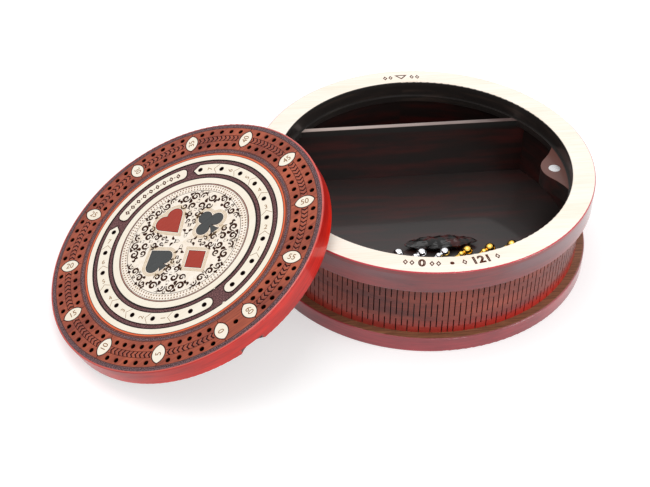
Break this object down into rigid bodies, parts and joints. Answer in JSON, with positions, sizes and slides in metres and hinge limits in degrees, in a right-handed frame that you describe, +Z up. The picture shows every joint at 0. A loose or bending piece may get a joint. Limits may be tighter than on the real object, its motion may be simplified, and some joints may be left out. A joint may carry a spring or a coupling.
{
  "type": "cribbage box with lift-off board lid",
  "caption": "Round wooden cribbage box: kerf-bent wall, pale rim, divided well with magnet lugs, inlaid peg-board lid leaning beside it, pegs and pouch inside.",
  "frame": {"origin": "centre of the base disc's underside, where the box stands on the table", "axes": "+Z up; the rim's start mark is at -Y and its push mark at +Y; the lid's tilt axis runs along X through the two lugs"},
  "size_m": [0.3463, 0.2486, 0.0911],
  "materials": {
    "stained_wood": "red-brown stain under gloss lacquer",
    "base_wood": "stained edge, plain brown top",
    "maple": "pale maple, satin",
    "red_inlay": "red wood inlay, satin",
    "grey_inlay": "dark grey wood inlay, satin",
    "silver_metal": "polished",
    "gold_metal": "polished",
    "magnet": "nickel plated",
    "pouch_cloth": "black satin cloth"
  },
  "bodies": {
    "box": {"base_disc": "base_wood", "kerf_wall": "stained_wood", "rim_hoop": "stained_wood", "rim_face": "maple", "divider": "stained_wood", "left_lug": "stained_wood", "right_lug": "stained_wood", "left_lug_magnet": "magnet", "right_lug_magnet": "magnet"},
    "lid": {"lid_board": "stained_wood", "number_plates": "maple", "outer_maple_ring": "maple", "games_label_plate": "maple", "right_games_track": "maple", "left_games_track": "maple", "inner_maple_ring": "maple", "filigree_disc": "maple", "heart_inlay": "red_inlay", "club_inlay": "grey_inlay", "diamond_inlay": "red_inlay", "spade_inlay": "grey_inlay", "lid_magnets": "magnet"},
    "silver_peg_1": {"silver_peg_1": "silver_metal"},
    "silver_peg_2": {"silver_peg_2": "silver_metal"},
    "silver_peg_3": {"silver_peg_3": "silver_metal"},
    "gold_peg_1": {"gold_peg_1": "gold_metal"},
    "gold_peg_2": {"gold_peg_2": "gold_metal"},
    "gold_peg_3": {"gold_peg_3": "gold_metal"},
    "pouch": {"peg_pouch": "pouch_cloth"}
  },
  "joints": [
    {"name": "lid_lift", "type": "slide", "parent": "box", "child": "lid", "axis": [0, 0, 1], "range_m": [0, 0.08]},
    {"name": "silver_peg_1_lift", "type": "slide", "parent": "box", "child": "silver_peg_1", "axis": [0, 0, 1], "range_m": [0, 0.06]},
    {"name": "silver_peg_2_lift", "type": "slide", "parent": "box", "child": "silver_peg_2", "axis": [0, 0, 1], "range_m": [0, 0.06]},
    {"name": "silver_peg_3_lift", "type": "slide", "parent": "box", "child": "silver_peg_3", "axis": [0, 0, 1], "range_m": [0, 0.06]},
    {"name": "gold_peg_1_lift", "type": "slide", "parent": "box", "child": "gold_peg_1", "axis": [0, 0, 1], "range_m": [0, 0.06]},
    {"name": "gold_peg_2_lift", "type": "slide", "parent": "box", "child": "gold_peg_2", "axis": [0, 0, 1], "range_m": [0, 0.06]},
    {"name": "gold_peg_3_lift", "type": "slide", "parent": "box", "child": "gold_peg_3", "axis": [0, 0, 1], "range_m": [0, 0.06]},
    {"name": "pouch_lift", "type": "slide", "parent": "box", "child": "pouch", "axis": [0, 0, 1], "range_m": [0, 0.06]}
  ]
}
